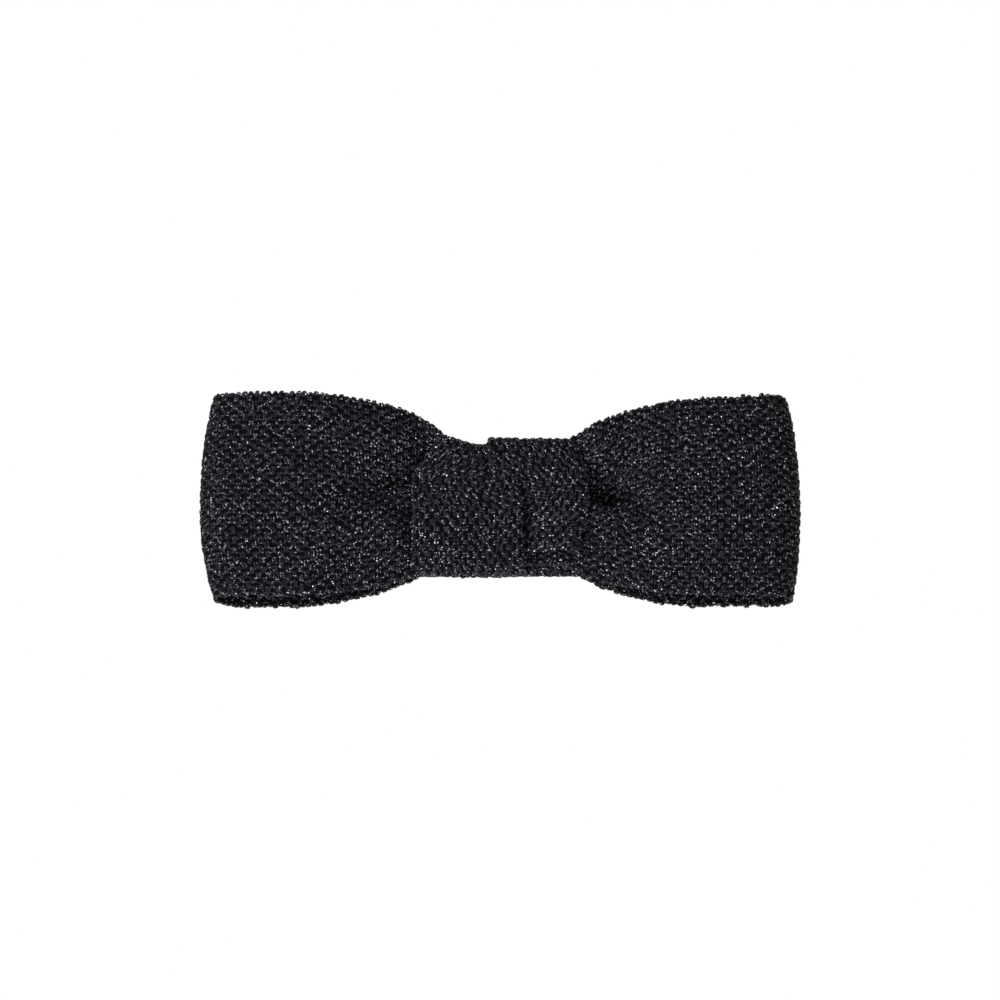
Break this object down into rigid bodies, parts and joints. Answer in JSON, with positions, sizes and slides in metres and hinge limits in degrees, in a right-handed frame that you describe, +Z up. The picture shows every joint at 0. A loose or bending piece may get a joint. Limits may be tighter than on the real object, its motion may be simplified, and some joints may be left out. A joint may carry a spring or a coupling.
{
  "type": "hair bow on a clip",
  "caption": "Flat knitted hair bow with two open loops and a wide wrapped knot, sewn on a sprung metal clip that grips a lock of hair.",
  "frame": {"origin": "in the gap between the clip's two arms, level with the middle of the bow, where the clip grips the hair", "axes": "+X along the bow, +Z up as worn, -Y out of the bow's front, +Y towards the head"},
  "size_m": [0.11, 0.0232, 0.038],
  "materials": {
    "knit": "black fine-gauge knit with a metallic filament",
    "knit_knot": "the same black knit, turned a quarter turn",
    "thread": "black spun polyester sewing thread",
    "felt": "black pressed felt",
    "ribbon": "black grosgrain ribbon",
    "clip_steel": "nickel-plated pressed steel",
    "pin_steel": "peened steel pin",
    "spring_wire": "drawn spring wire"
  },
  "bodies": {
    "bow": {"bow_band": "knit", "knot_band": "knit_knot", "gather_thread": "thread", "band_end_seam": "thread", "knot_closing_stitches": "thread", "backing_felt": "felt", "clip_stitches": "thread", "clip_ribbon": "ribbon", "clip_upper_arm": "clip_steel", "hinge_pin": "pin_steel", "torsion_spring": "spring_wire"},
    "clip_jaw": {"clip_lower_arm": "clip_steel"}
  },
  "joints": [
    {"name": "jaw_hinge", "type": "hinge", "parent": "bow", "child": "clip_jaw", "pos_m": [0.011, 0.0004, 0], "axis": [0, 0, -1], "range_deg": [0, 30], "stiffness_Nm_per_rad": 0.13, "springref_deg": -28.65, "deforming": ["torsion_spring"]}
  ]
}
